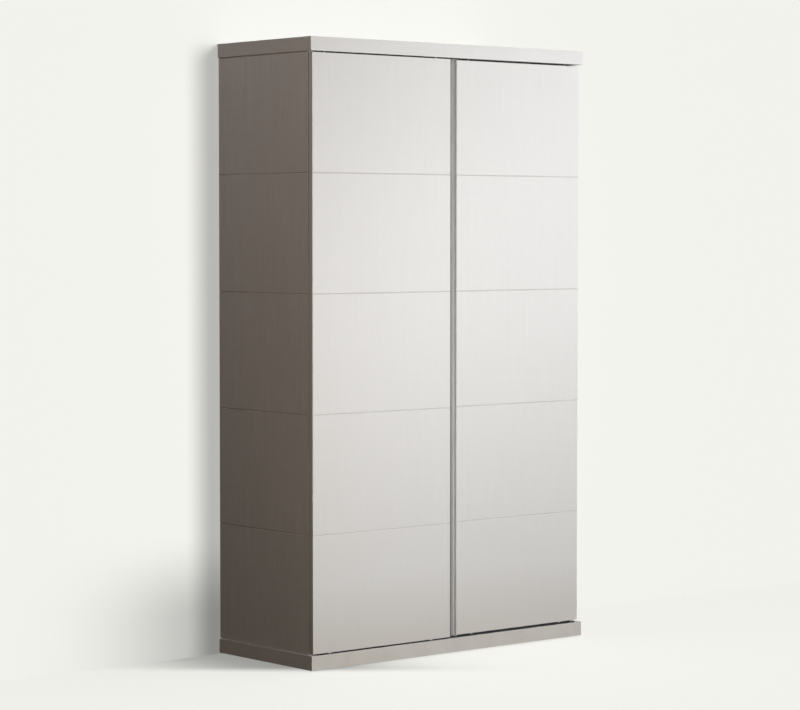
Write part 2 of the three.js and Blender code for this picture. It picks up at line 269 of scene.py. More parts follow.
boardLook = {
    "middle": (0.7675, 0.761, 0.7385),
    "swing": 0.0625,                        # how far threads and clouds stray from the middle
    "lowShadeTone": (0.65, 0.615, 0.56),         # painted shade on low faces: the plinth's front and the bottom of the doors
    # colour of the painted shade in the V grooves
    "groove": (0.50, 0.475, 0.44),
    "threadWidth": 0.0045,
    "threadCross": 0.42,
    "threadShare": 0.4,
    "streakWidth": 0.016,
    "streakCross": 0.25,
    "streakShare": 0.3,
    "cloudShare": 0.3,
    "lowShadeFrom": 0.06,                       # painted shade on the doors fades out between these heights
    "lowShadeTo": 0.30,
    "roughness": 0.42,
    "patchGloss": 0.008,
    "threadGloss": -0.04,
    "grainDepth": 0.00006,
}
boardKinds = {
    "upright": {"grainAlong": "Z", "contrast": 1.9, "grooveShade": 1.0, "lowShade": 0.0, "frontShade": 0.0},
    "door": {"grainAlong": "Z", "contrast": 0.6, "grooveShade": 0.4, "lowShade": 0.7, "frontShade": 0.0},
    "slab": {"grainAlong": "X", "contrast": 1.0, "grooveShade": 0.0, "lowShade": 0.0, "frontShade": 0.0},
    "plinth": {"grainAlong": "X", "contrast": 1.0, "grooveShade": 0.0, "lowShade": 0.0, "frontShade": 0.7},
}


# White laminate. Upright boards have their grain along Z, flat slabs along X. Painted shade darkens the
# grooves, the plinth's front and the bottom of the doors.
def makeBoardFinish(kind):
    look, own = boardLook, boardKinds[kind]
    name = "whiteBoard" + kind.capitalize()
    material, tree, shader, place, axes = finish(name, look["middle"], look["roughness"])
    normal = faceNormal(tree)
    handling = placeGroup(tree, handlingGroup, {"Place": place})
    run = {"Across": acrossGrain(tree, axes, own["grainAlong"]), "Along": axes[own["grainAlong"]]}
    grain = placeGroup(tree, grainGroup, {
        **run, "Thread Width": look["threadWidth"], "Cross Share": look["threadCross"]})
    streaks = placeGroup(tree, grainGroup, {
        **run, "Thread Width": look["streakWidth"], "Cross Share": look["streakCross"]})
    tone = maths(tree, "MULTIPLY", grain["Cloud"], look["cloudShare"])
    tone = maths(tree, "MULTIPLY_ADD", grain["Shade"], look["threadShare"], tone)
    tone = maths(tree, "MULTIPLY_ADD", streaks["Shade"], look["streakShare"], tone)
    swing = own["contrast"] * look["swing"]
    dark, light = [opaque([v + way * swing for v in look["middle"]]) for way in (-1, 1)]
    colour = blendColours(tree, tone, dark, light)
    # Painted shade on the slanting faces of the grooves.
    if own["grooveShade"]:
        groove = placeGroup(tree, grooveGroup, {"Height": axes["Z"], "Slant": normal["Z"]})
        grooveShading = maths(tree, "MULTIPLY", groove["Groove Shade"], own["grooveShade"])
        colour = blendColours(tree, grooveShading, colour, opaque(look["groove"]))
    # Painted shade on the plinth's front faces, made uneven by handling patches.
    if own["frontShade"]:
        inFront = span(tree, normal["Y"], -0.7, -0.3, 1.0, 0.0)
        shadeMix = maths(tree, "MULTIPLY_ADD", handling["Patches"], 1 - own["frontShade"], own["frontShade"])
        shadeMix = maths(tree, "MULTIPLY", shadeMix, inFront)
        colour = blendColours(tree, shadeMix, colour, opaque(look["lowShadeTone"]))
    # Painted shade, darker towards the bottom of the doors.
    if own["lowShade"]:
        shadeMix = span(tree, axes["Z"], look["lowShadeFrom"], look["lowShadeTo"], own["lowShade"], 0.0)
        colour = blendColours(tree, shadeMix, colour, opaque(look["lowShadeTone"]))
    tree.links.new(colour, shader.inputs["Base Color"])
    evenGloss = look["roughness"] - look["patchGloss"] / 2
    gloss = maths(tree, "MULTIPLY_ADD", handling["Patches"], look["patchGloss"], evenGloss)
    gloss = maths(tree, "MULTIPLY_ADD", grain["Shade"], look["threadGloss"], gloss)
    tree.links.new(gloss, shader.inputs["Roughness"])
    bump(tree, shader, grain["Height"], look["grainDepth"])
    return material


insideLook = {
    "white": (0.78, 0.775, 0.755),
    "marked": 0.965,                        # how much darker handled patches are
    "patchSize": 0.2,
    "roughness": (0.45, 0.55),
    "peelSize": 0.0016,
    "peelDepth": 0.00005,
}


def makeInsideFinish():
    look = insideLook
    material, tree, shader, place, _ = finish("insideWhite", look["white"], look["roughness"][0])
    skin = placeGroup(tree, mouldedGroup, {"Place": place, "Grain Size": look["peelSize"]})
    handling = placeGroup(tree, handlingGroup, {"Place": place, "Patch Size": look["patchSize"]})
    marked = toned(look["white"], look["marked"])
    colour = blendColours(tree, handling["Patches"], opaque(look["white"]), opaque(marked))
    tree.links.new(colour, shader.inputs["Base Color"])
    tree.links.new(between(tree, skin["Slow"], *look["roughness"]), shader.inputs["Roughness"])
    bump(tree, shader, skin["Grain"], look["peelDepth"])
    return material


backLook = {
    "paint": (0.74, 0.735, 0.71),
    "raw": (0.24, 0.135, 0.07),
    "roughness": (0.55, 0.8),               # of the paint and of the raw fibres
    "fibre": 0.0011,
    "fibreShare": 0.84,
    "fibreDepth": 0.00012,
    "cloudScale": 9.0,
}


# Thin fibreboard: painted white towards the inside, raw brown fibres towards the wall.
def makeBackFinish():
    look = backLook
    material, tree, shader, place, _ = finish("fibreboard", look["paint"], look["roughness"][0])
    raw = span(tree, faceNormal(tree)["Y"], -0.6, -0.4)
    fibres = noise(tree, place, 1 / look["fibre"], detail=5.0, distortion=1.5)
    slow = noise(tree, place, look["cloudScale"], detail=3.0)
    cloudPart = maths(tree, "MULTIPLY", slow, 1 - look["fibreShare"])
    tone = maths(tree, "MULTIPLY_ADD", fibres, look["fibreShare"], cloudPart)
    dark, light = [opaque(toned(look["raw"], factor)) for factor in (0.62, 1.3)]
    brown = blendColours(tree, span(tree, tone, 0.35, 0.65), dark, light)
    paint = blendColours(tree, slow, opaque(look["paint"]), opaque(toned(look["paint"], 0.95)))
    tree.links.new(blendColours(tree, raw, paint, brown), shader.inputs["Base Color"])
    tree.links.new(between(tree, raw, *look["roughness"]), shader.inputs["Roughness"])
    bump(tree, shader, fibres, look["fibreDepth"])
    return material


metalDetail = {
    "darkLines": 0.88,
    "lineGloss": 0.08,
    "lineDepth": 0.00002,
    "patchGloss": 0.05,
    "patchSize": 0.05,
}
metalLooks = {
    "gripAluminium": {
        "colour": (0.14, 0.14, 0.137), "roughness": 0.55, "metal": 0.4, "along": "Z", "lineWidth": 0.0006,
        "wallLitTone": (0.88, 0.88, 0.86),
        "shadedHalf": 0.0145,                 # dark base colour this far from the middle, full painted light further out
        "litHalf": 0.027,
    },
    "railAluminium": {
        "colour": (0.035, 0.035, 0.036), "roughness": 0.5, "metal": 0.6, "along": "X", "lineWidth": 0.0004,
    },
    "brightTube": {
        "colour": (0.78, 0.78, 0.79), "roughness": 0.12, "metal": 1.0, "along": "X", "lineWidth": 0.0003,
    },
}


# The grip channel is darker in the middle and lighter towards its two walls: painted light and shade across
# the channel.
def paintedWallLight(tree, across, look):
    middle = middleOf("grip_floor").x
    off = maths(tree, "ABSOLUTE", maths(tree, "SUBTRACT", across, middle))
    return span(tree, off, look["shadedHalf"], look["litHalf"])


def makeMetal(name):
    look, detail = metalLooks[name], metalDetail
    material, tree, shader, place, axes = finish(name, look["colour"], look["roughness"], look["metal"])
    lines = placeGroup(tree, linesGroup, {
        "Across": acrossGrain(tree, axes, look["along"]), "Along": axes[look["along"]],
        "Line Width": look["lineWidth"]})
    handling = placeGroup(tree, handlingGroup, {"Place": place, "Patch Size": detail["patchSize"]})
    darker = toned(look["colour"], detail["darkLines"])
    colour = blendColours(tree, lines["Lines"], opaque(darker), opaque(look["colour"]))
    # Painted light towards the grip channel's two walls.
    if "wallLitTone" in look:
        colour = blendColours(tree, paintedWallLight(tree, axes["X"], look), colour, opaque(look["wallLitTone"]))
    tree.links.new(colour, shader.inputs["Base Color"])
    evenGloss = look["roughness"] - detail["lineGloss"] / 2
    rough = maths(tree, "MULTIPLY_ADD", lines["Lines"], detail["lineGloss"], evenGloss)
    rough = maths(tree, "MULTIPLY_ADD", handling["Patches"], detail["patchGloss"], rough)
    tree.links.new(rough, shader.inputs["Roughness"])
    bump(tree, shader, lines["Height"], detail["lineDepth"])
    return material


plasticDetail = {"worn": 1.18, "patchSize": 0.02, "glossFrom": -0.04, "glossTo": 0.06, "grainDepth": 0.00004}
plasticLooks = {
    "whiteNylon": {"colour": (0.72, 0.71, 0.66), "roughness": 0.42, "grain": 0.0005},
    "blackPlastic": {"colour": (0.022, 0.022, 0.023), "roughness": 0.48, "grain": 0.0007},
    "blackRubber": {"colour": (0.016, 0.016, 0.016), "roughness": 0.78, "grain": 0.0010},
}


def makePlastic(name):
    look, detail = plasticLooks[name], plasticDetail
    material, tree, shader, place, _ = finish(name, look["colour"], look["roughness"])
    skin = placeGroup(tree, mouldedGroup, {"Place": place, "Grain Size": look["grain"]})
    handling = placeGroup(tree, handlingGroup, {"Place": place, "Patch Size": detail["patchSize"]})
    lighter = toned(look["colour"], detail["worn"])
    colour = blendColours(tree, skin["Slow"], opaque(look["colour"]), opaque(lighter))
    tree.links.new(colour, shader.inputs["Base Color"])
    limits = [look["roughness"] + detail[key] for key in ("glossFrom", "glossTo")]
    tree.links.new(between(tree, handling["Patches"], *limits), shader.inputs["Roughness"])
    bump(tree, shader, skin["Grain"], detail["grainDepth"])
    return material


zincLook = {
    "bright": (0.55, 0.55, 0.53),
    "dull": (0.44, 0.43, 0.39),
    "roughness": (0.22, 0.38),
    "spangleScale": 900.0,
    "spangleDepth": 0.00001,
}


def makeZinc():
    look = zincLook
    material, tree, shader, place, _ = finish("zincPlated", look["bright"], look["roughness"][0], 1.0)
    cells = put(tree, "ShaderNodeTexVoronoi", {"Vector": place, "Scale": look["spangleScale"]})
    spangle = put(tree, "ShaderNodeSeparateColor", {0: cells.outputs["Color"]}).outputs[0]
    colour = blendColours(tree, spangle, opaque(look["dull"]), opaque(look["bright"]))
    tree.links.new(colour, shader.inputs["Base Color"])
    tree.links.new(between(tree, spangle, *look["roughness"]), shader.inputs["Roughness"])
    bump(tree, shader, spangle, look["spangleDepth"])
    return material


finishes = {
    **{kind: makeBoardFinish(kind) for kind in boardKinds},
    "inside": makeInsideFinish(),
    "back": makeBackFinish(),
    "zinc": makeZinc(),
    **{name: makeMetal(name) for name in metalLooks},
    **{name: makePlastic(name) for name in plasticLooks},
}
print("finishes made:", len(finishes))


# Mesh helpers.

facing = {"+X": Matrix.Rotation(math.pi / 2, 4, "Y"), "-X": Matrix.Rotation(-math.pi / 2, 4, "Y"),
          "+Y": Matrix.Rotation(-math.pi / 2, 4, "X"), "-Y": Matrix.Rotation(math.pi / 2, 4, "X"),
          "+Z": Matrix.Identity(4), "-Z": Matrix.Rotation(math.pi, 4, "X")}


def showPiece(name, mesh, look, body, standsFor=(), smoothAngle=None):
    piece = bpy.data.objects.new(name, mesh)
    scene.collection.objects.link(piece)
    mesh.materials.clear()
    mesh.materials.append(finishes[look])
    if smoothAngle is not None:
        mesh.shade_smooth()
        mesh.set_sharp_from_angle(angle=math.radians(smoothAngle))
    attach(piece, body)
    if standsFor:
        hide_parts(*standsFor)
    return piece


# Points given in millimetres, in metres.
def metres(points):
    return [tuple(value * mm for value in point) for point in points]


def fromBmesh(name, work):
    bmesh.ops.recalc_face_normals(work, faces=work.faces)
    mesh = bpy.data.meshes.new(name)
    work.to_mesh(mesh)
    work.free()
    return mesh


# Applies modifiers, given as (kind, settings), to a mesh and returns the result.
def withModifiers(mesh, modifiers):
    holder = bpy.data.objects.new("holder", mesh)
    scene.collection.objects.link(holder)
    for kind, settings in modifiers:
        modifier = holder.modifiers.new(kind.lower(), kind)
        for key, value in settings.items():
            setattr(modifier, key, value)
    evaluated = holder.evaluated_get(bpy.context.evaluated_depsgraph_get())
    result = bpy.data.meshes.new_from_object(evaluated)
    result.name = mesh.name
    bpy.data.objects.remove(holder)
    return result


# The board of a CAD node with its faces joined up and its edges eased.
def easedBoard(node, edge):
    work = bmesh.new()
    work.from_mesh(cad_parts[node].data)
    bmesh.ops.remove_doubles(work, verts=work.verts, dist=1e-5)
    bmesh.ops.dissolve_limit(work, angle_limit=math.radians(1), verts=work.verts, edges=work.edges)
    mesh = fromBmesh(node + "_eased", work)
    easing = {"width": edge, "segments": 3, "limit_method": "ANGLE", "angle_limit": math.radians(30)}
    return withModifiers(mesh, [("BEVEL", easing)])


def easedPart(node, edge, look, body, smoothAngle=None):
    return showPiece(node + "_part", easedBoard(node, edge), look, body, [node], smoothAngle)


# Turns a closed profile of (radius, height) round an axis through a centre.
def turned(name, profile, centre=(0, 0, 0), axis="Z", steps=64, closed=False):
    work = bmesh.new()
    rings = []
    for radius, height in profile:
        if radius < 1e-7:
            rings.append([work.verts.new((0, 0, height))])
            continue
        angles = [2 * math.pi * k / steps for k in range(steps)]
        rings.append([work.verts.new((radius * math.cos(a), radius * math.sin(a), height)) for a in angles])
    pairs = list(zip(rings, rings[1:]))
    if closed:
        pairs.append((rings[-1], rings[0]))
    for low, high in pairs:
        for k in range(steps):
            n = (k + 1) % steps
            corners = [low[k % len(low)], low[n % len(low)], high[n % len(high)], high[k % len(high)]]
            unique = list(dict.fromkeys(corners))
            if len(unique) > 2:
                work.faces.new(unique)
    place = Matrix.Translation(centre) @ facing["+" + axis]
    bmesh.ops.transform(work, matrix=place, verts=work.verts)
    return fromBmesh(name, work)


# Rounds the corners of a closed outline of (x, y, radius) points.
def roundedOutline(points, steps=5):
    outline = []
    count = len(points)
    for i, (x, y, radius) in enumerate(points):
        corner = Vector((x, y))
        before = Vector(points[i - 1][:2]) - corner
        after = Vector(points[(i + 1) % count][:2]) - corner
        if radius <= 0:
            outline.append(corner)
            continue
        half = before.angle(after) / 2
        reach = min(radius / math.tan(half), before.length * 0.49, after.length * 0.49)
        radius = reach * math.tan(half)
        before, after = before.normalized(), after.normalized()
        start, end = corner + before * reach, corner + after * reach
        middle = corner + (before + after).normalized() * (radius / math.sin(half))
        for k in range(steps + 1):
            spoke = (start - middle).lerp(end - middle, k / steps).normalized() * radius
            outline.append(middle + spoke)
    return outline


# Carries an outline along X, Y or Z. Its own axes are the other two, in order.
def carried(name, outline, axis, start, end):
    def at(point, along):
        others = list(point)
        others.insert("XYZ".index(axis), along)
        return others
    work = bmesh.new()
    first = [work.verts.new(at(p, start)) for p in outline]
    last = [work.verts.new(at(p, end)) for p in outline]
    count = len(outline)
    for k in range(count):
        n = (k + 1) % count
        work.faces.new((first[k], first[n], last[n], last[k]))
    work.faces.new(first[::-1])
    work.faces.new(last)
    return fromBmesh(name, work)


# One mesh from several, each given with its place.
def gathered(name, items):
    work = bmesh.new()
    for mesh, place in items:
        before = len(work.verts)
        work.from_mesh(mesh)
        work.verts.ensure_lookup_table()
        bmesh.ops.transform(work, matrix=place, verts=work.verts[before:])
    mesh = bpy.data.meshes.new(name)
    work.to_mesh(mesh)
    work.free()
    return mesh


# Copies of one mesh set on faces that look one way.
def setOn(mesh, places, way):
    return [(mesh, Matrix.Translation(Vector(place)) @ facing[way]) for place in places]


def box(name, low, high):
    work = bmesh.new()
    middle = (Vector(low) + Vector(high)) / 2
    size = Vector(high) - Vector(low)
    bmesh.ops.create_cube(work, size=1, matrix=Matrix.Translation(middle) @ Matrix.Diagonal((*size, 1)))
    return fromBmesh(name, work)


def withCutter(mesh, cutter):
    tool = bpy.data.objects.new("cutter", cutter)
    scene.collection.objects.link(tool)
    settings = {"object": tool, "operation": "DIFFERENCE", "solver": "EXACT"}
    result = withModifiers(mesh, [("BOOLEAN", settings)])
    bpy.data.objects.remove(tool)
    return result


# Boards.

boardEdges = {"outer": 0.7 * mm, "inner": 0.6 * mm, "back": 0.3 * mm, "strip": 0.4 * mm}
shelves = ["shelf_1", "shelf_2", "shelf_3", "shelf_4"]
pinSettings = {
    "inset": 39 * mm,                       # from a shelf's front and rear edges
    "radius": 2.45 * mm,
    "slack": 0.05 * mm,
    "holeOffsets": [step * 32 * mm for step in (-3, -2, -1, 1, 2, 3)],
    "holeRadius": 2.5 * mm,
    "holeDepth": 4 * mm,
}
shelfLow, shelfHigh = cornersOf("shelf_1")
pinRows = (shelfLow.y + pinSettings["inset"], shelfHigh.y - pinSettings["inset"])
bayFaces = {"+X": cornersOf("centre_divider")[1].x, "-X": cornersOf("right_side_panel")[0].x}


# Where the shelf pins stand in one face of the right bay, moved up by some offsets.
def pinSpots(way, offsets):
    undersides = [cornersOf(shelf)[0].z for shelf in shelves]
    return [(bayFaces[way], y, under - pinSettings["radius"] + offset)
            for under in undersides for y in pinRows for offset in offsets]


# Rows of blind holes for the shelf pins in one face of the right bay.
def drilled(mesh, way):
    radius, depth = pinSettings["holeRadius"], pinSettings["holeDepth"]
    rod = turned("rod", [(0, -depth), (radius, -depth), (radius, 1 * mm), (0, 1 * mm)], steps=16)
    spots = pinSpots(way, pinSettings["holeOffsets"])
    return withCutter(mesh, gathered("holes", setOn(rod, spots, way)))


for node, look in (("top_panel", "slab"), ("base_panel", "plinth"),
                   ("left_side_panel", "upright"), ("right_side_panel", "upright")):
    mesh = easedBoard(node, boardEdges["outer"])
    if node == "right_side_panel":
        mesh = drilled(mesh, "-X")
    showPiece(node + "_board", mesh, look, "carcass", [node])

for side in ("left", "right"):
    mesh = easedBoard(side + "_door_panel", boardEdges["outer"])
    showPiece(side + "_door_board", mesh, "door", side + "_door", [side + "_door_panel"])

for node in ("centre_divider", "hat_shelf", "upper_shelf", *shelves):
    mesh = easedBoard(node, boardEdges["inner"])
    if node == "centre_divider":
        mesh = drilled(mesh, "+X")
    showPiece(node + "_board", mesh, "inside", "carcass", [node])
print("boards made")

# Fasteners.

screwSettings = {"headRadius": 3.2 * mm, "headHeight": 0.55 * mm, "recess": 1.9 * mm, "steps": 28}


# A low domed screw head with a cross recess, its face towards +Z.
def screwHead():
    radius, height, arm = [screwSettings[key] for key in ("headRadius", "headHeight", "recess")]
    profile = [(0, -height), (radius * 0.9, -height), (radius, -height * 0.2)]
    profile += [(radius * math.cos(t), height * math.sin(t)) for t in (0.35, 0.7, 1.0, 1.25)] + [(0, height)]
    head = turned("head", profile, steps=screwSettings["steps"])
    for wide, high in ((arm, arm * 0.22), (arm * 0.22, arm)):
        head = withCutter(head, box("arm", (-wide, -high, -height * 0.1), (wide, high, height * 2)))
    return head


screwMesh = screwHead()


# Screws in faces that look one way, each turned a little differently.
def screws(name, places, way, body, scale=1.0):
    items = []
    for k, (mesh, place) in enumerate(setOn(screwMesh, places, way)):
        spin = Matrix.Rotation(0.7 + 1.3 * k, 4, "Z") @ Matrix.Scale(scale, 4)
        items.append((mesh, place @ spin))
    return showPiece(name, gathered(name, items), "zinc", body, smoothAngle=40)


# Grip channel of the right door, one extrusion with its floor cut away over the rail.

gripSettings = {
    "lipRadius": 0.85 * mm,
    "heelRadius": 0.3 * mm,
    "fillet": 1.6 * mm,
    "rearFillet": 0.5 * mm,
    "notchHalf": 2 * mm,
}


def makeGrip():
    g = gripSettings
    (low, innerLow), (innerHigh, high) = cornersOf("grip_wall_left"), cornersOf("grip_wall_right")
    floorLow, floorHigh = cornersOf("grip_floor")
    left, right = innerLow.x, innerHigh.x
    points = [
        (low.x, low.y, g["lipRadius"]), (left, low.y, g["lipRadius"]),
        (left, floorLow.y, g["fillet"]), (right, floorLow.y, g["fillet"]),
        (right, low.y, g["lipRadius"]), (high.x, low.y, g["lipRadius"]),
        (high.x, high.y, g["heelRadius"]), (right, high.y, g["heelRadius"]),
        (right, floorHigh.y, g["rearFillet"]), (left, floorHigh.y, g["rearFillet"]),
        (left, high.y, g["heelRadius"]), (low.x, high.y, g["heelRadius"]),
    ]
    mesh = carried("gripChannel", roundedOutline(points), "Z", low.z, high.z)
    past = 2 * mm
    lane = middleOf("right_door_wheel_left").y
    notchLow = (low.x - past, lane - g["notchHalf"], low.z - past)
    notchHigh = (high.x + past, lane + g["notchHalf"], floorLow.z)
    return withCutter(mesh, box("notch", notchLow, notchHigh))


gripNodes = ["grip_wall_left", "grip_floor", "grip_wall_right"]
showPiece("gripChannel", makeGrip(), "gripAluminium", "right_door", gripNodes, 40)

# Running gear of both doors.

# The wheels' own sizes are in millimetres.
wheelSettings = {"bore": 2.12, "tread": 9.0, "dimples": 6, "dimpleRing": 6.0, "dimpleRadius": 1.25}
gearSettings = {
    "edge": 0.6 * mm,
    "axleChamfer": 0.4 * mm,
    "pinChamfer": 1.2 * mm,
    "carrierScrew": (8 * mm, 18 * mm),      # in from the carrier's ends, and up from its underside
    "guideScrew": (7 * mm, 15 * mm),        # the same for a guide block
}


# A grooved nylon wheel on a Y axis, with a raised hub and a ring of shallow dimples.
def makeWheel(centre):
    w = wheelSettings
    side = [(w["bore"], 3.0), (3.6, 3.0), (4.0, 2.7), (4.1, 2.3), (7.9, 2.3), (8.1, 2.8), (8.4, 3.0),
            (10.4, 3.0), (10.8, 2.9), (11.0, 2.65), (10.95, 2.3), (10.5, 2.0), (9.3, 1.5), (w["tread"], 1.2)]
    profile = side + [(r, -h) for r, h in reversed(side)]
    wheel = turned("wheel", metres(profile), centre, "Y", closed=True)
    rod = metres([(0, -5), (w["dimpleRadius"], -5), (w["dimpleRadius"], 5), (0, 5)])
    holes = []
    for k in range(w["dimples"]):
        angle = 2 * math.pi * k / w["dimples"]
        spot = centre + w["dimpleRing"] * mm * Vector((math.cos(angle), 0, math.sin(angle)))
        holes.append((turned("hole", rod, spot, "Y", 20), Matrix.Identity(4)))
    return withCutter(wheel, gathered("holes", holes))


# The profile of a round pin with eased ends.
def pinShape(radius, low, high, ease):
    turns = (0, 0.5, 1.05, 1.57)
    rounding = [(radius - ease * (1 - math.sin(t)), ease * (1 - math.cos(t))) for t in turns]
    lower = [(r, low + h) for r, h in rounding]
    upper = [(r, high - h) for r, h in reversed(rounding)]
    return [(0, low)] + lower + upper + [(0, high)]


# Two screws in the rear face of a part, near its ends.
def screwPair(name, part, setting, body, scale=1.0):
    low, high = cornersOf(part)
    inset, up = gearSettings[setting]
    places = [(x, high.y, low.z + up) for x in (low.x + inset, high.x - inset)]
    screws(name, places, "+Y", body, scale)


for side in ("left", "right"):
    body = side + "_door"
    for end in ("left", "right"):
        node = f"{body}_wheel_{end}"
        centre = middleOf(node)
        showPiece(node + "_turned", makeWheel(centre), "whiteNylon", node, [node], 35)
        node = f"{body}_axle_{end}"
        size = (cornersOf(node)[1] - cornersOf(node)[0]) / 2
        profile = pinShape(size.x, -size.y, size.y, gearSettings["axleChamfer"])
        axle = turned(node + "_turned", profile, centre, "Y", 40)
        showPiece(node + "_turned", axle, "zinc", body, [node], 35)
        node = f"{body}_wheel_carrier_{end}"
        easedPart(node, gearSettings["edge"], "blackPlastic", body)
        screwPair(f"{side}_carrier_screws_{end}", node, "carrierScrew", body)
    for end in ("left", "right"):
        node = f"{body}_guide_pin_{end}"
        low, high = cornersOf(node)
        centre = middleOf(node)
        profile = pinShape((high.x - low.x) / 2, low.z, high.z, gearSettings["pinChamfer"])
        pin = turned(node + "_turned", profile, (centre.x, centre.y, 0), "Z", 40)
        showPiece(node + "_turned", pin, "whiteNylon", body, [node], 35)
        node = f"{body}_guide_block_{end}"
        easedPart(node, gearSettings["edge"], "blackPlastic", body)
        screwPair(f"{side}_guide_screws_{end}", node, "guideScrew", body, 0.9)
print("doors made")

# Rails and stops.

railSettings = {
    "plate": 2 * mm,
    "ridgeHalf": 1 * mm,
    "ridgeRadius": 0.98 * mm,
    "slotHalf": 4 * mm,
    "slotDepth": 11 * mm,
    "wall": 1.2 * mm,
    "edge": 0.3 * mm,
    "outerEdge": 0.2 * mm,
    "ridgeFillet": 0.4 * mm,
    "fillet": 0.5 * mm,
    "stopEdge": 1.2 * mm,
    "screwsAt": (-570 * mm, -285 * mm, 0, 285 * mm, 570 * mm),
    "screwRow": -241.2 * mm,
}
lanes = [middleOf(side + "_door_wheel_left").y for side in ("left", "right")]


# Outline of the lower rail: a plate with a rounded ridge in each lane.
def lowerRail():
    s = railSettings
    low, high = cornersOf("bottom_running_rail")
    top = low.z + s["plate"]
    points = [(low.y, low.z, s["outerEdge"]), (low.y, top, s["fillet"])]
    for lane in lanes:
        before, after = lane - s["ridgeHalf"], lane + s["ridgeHalf"]
        points += [(before, top, s["ridgeFillet"]), (before, high.z, s["ridgeRadius"]),
                   (after, high.z, s["ridgeRadius"]), (after, top, s["ridgeFillet"])]
    return points + [(high.y, top, s["fillet"]), (high.y, low.z, s["outerEdge"])], top


# Outline of the upper rail: two channels open downwards, joined by a roof.
def upperRail():
    s = railSettings
    low, high = cornersOf("top_guide_rail")
    roof = low.z + s["slotDepth"]
    walls = s["slotHalf"] + s["wall"]
    points = []
    for lane in lanes:
        before, after = lane - s["slotHalf"], lane + s["slotHalf"]
        if points:
            points += [(lanes[0] + walls, roof, s["fillet"]), (lane - walls, roof, s["fillet"])]
        points += [(lane - walls, low.z, s["edge"]), (before, low.z, s["edge"]), (before, roof, s["fillet"]),
                   (after, roof, s["fillet"]), (after, low.z, s["edge"]), (lane + walls, low.z, s["edge"])]
    return points + [(high.y, high.z, s["outerEdge"]), (low.y, high.z, s["outerEdge"])], roof


screwFaces = []
for name, make in (("bottom_running_rail", lowerRail), ("top_guide_rail", upperRail)):
    points, screwFace = make()
    low, high = cornersOf(name)
    mesh = carried(name + "_drawn", roundedOutline(points, 4), "X", low.x, high.x)
    showPiece(name + "_drawn", mesh, "railAluminium", "carcass", [name], 30)
    screwFaces.append(screwFace)
for name, way, z in zip(("lower_rail_screws", "upper_rail_screws"), ("+Z", "-Z"), screwFaces):
    places = [(x, railSettings["screwRow"], z) for x in railSettings["screwsAt"]]
    screws(name, places, way, "carcass")
for lane in ("outer", "inner"):
    for end in ("left", "right"):
        easedPart(f"{lane}_stop_{end}", railSettings["stopEdge"], "blackRubber", "carcass")
print("rails made")

# Hanging rail, an oval tube between two supports.

tubeSettings = {
    "wall": 1.2 * mm,
    "steps": 24,
    "supportEdge": 0.7 * mm,
    "screwInset": 7.2 * mm,                 # from a support's outer end
    "screwRise": 0.2 * mm,
}


# The tube's outline, drawn in by the thickness of its wall for the inner one.
def ovalLoop(drawnIn):
    steps = tubeSettings["steps"]
    low, high = cornersOf("hanging_rail")
    middle = (low + high) / 2
    radius = (high.y - low.y) / 2 - drawnIn
    straight = (high.z - low.z) / 2 - drawnIn - radius
    loop = []
    for k in range(2 * steps):
        angle = math.pi * k / steps + math.pi / (2 * steps)
        rise = straight if math.sin(angle) > 0 else -straight
        loop.append((middle.y + radius * math.cos(angle), middle.z + rise + radius * math.sin(angle)))
    return loop


def makeTube():
    work = bmesh.new()
    low, high = cornersOf("hanging_rail")
    outer, inner = ovalLoop(0), ovalLoop(tubeSettings["wall"])
    loops = [[work.verts.new((x, y, z)) for y, z in loop] for loop, x in
             ((outer, low.x), (outer, high.x), (inner, high.x), (inner, low.x))]
    for first, second in zip(loops, loops[1:] + loops[:1]):
        for k in range(len(first)):
            n = (k + 1) % len(first)
            work.faces.new((first[k], first[n], second[n], second[k]))
    return fromBmesh("hangingTube", work)


showPiece("hangingTube", makeTube(), "brightTube", "carcass", ["hanging_rail"], 30)
supportScrews = []
for end, corner, inward in (("left", 0, 1), ("right", 1, -1)):
    node = "rail_support_" + end
    easedPart(node, tubeSettings["supportEdge"], "whiteNylon", "carcass", 20)
    x = cornersOf(node)[corner].x + inward * tubeSettings["screwInset"]
    supportScrews.append((x, middleOf("hanging_rail").y, cornersOf(node)[0].z + tubeSettings["screwRise"]))
screws("support_screws", supportScrews, "-Z", "carcass", 0.8)

# Shelf pins under the loose shelves, and cover caps under the fixed ones.

pinProfile = metres([
    (0, -2.6), (2.3, -2.6), (2.3, 0.2), (2.45, 0.4), (2.45, 7.0), (2.2, 7.2), (2.2, 7.8), (2.45, 8.0),
    (2.45, 9.0), (2.2, 9.5), (1.7, 9.8), (0, 9.8)])
pin = turned("pin", pinProfile, steps=24)
pins = [item for way in bayFaces for item in setOn(pin, pinSpots(way, [-pinSettings["slack"]]), way)]
showPiece("shelfPins", gathered("shelfPins", pins), "zinc", "carcass", smoothAngle=35)

capProfile = metres([
    (0, -0.4), (7.5, -0.4), (7.5, 0.3), (7.2, 0.7), (6.4, 0.8), (1.5, 0.8), (1.2, 0.55), (0, 0.5)])
capSettings = {"columns": (-572 * mm, -42 * mm, 42 * mm, 572 * mm), "steps": 40}
capSpots = [(x, y, cornersOf("upper_shelf")[0].z) for x in capSettings["columns"] for y in pinRows]
caps = setOn(turned("cap", capProfile, steps=capSettings["steps"]), capSpots, "-Z")
showPiece("fittingCaps", gathered("fittingCaps", caps), "whiteNylon", "carcass", smoothAngle=35)
print("fittings made")

# Back panels.

for node in ("left_back_panel", "right_back_panel"):
    mesh = easedBoard(node, boardEdges["back"])
    showPiece(node + "_sheet", mesh, "back", "carcass", [node])
easedPart("back_joint_strip", boardEdges["strip"], "blackPlastic", "carcass")

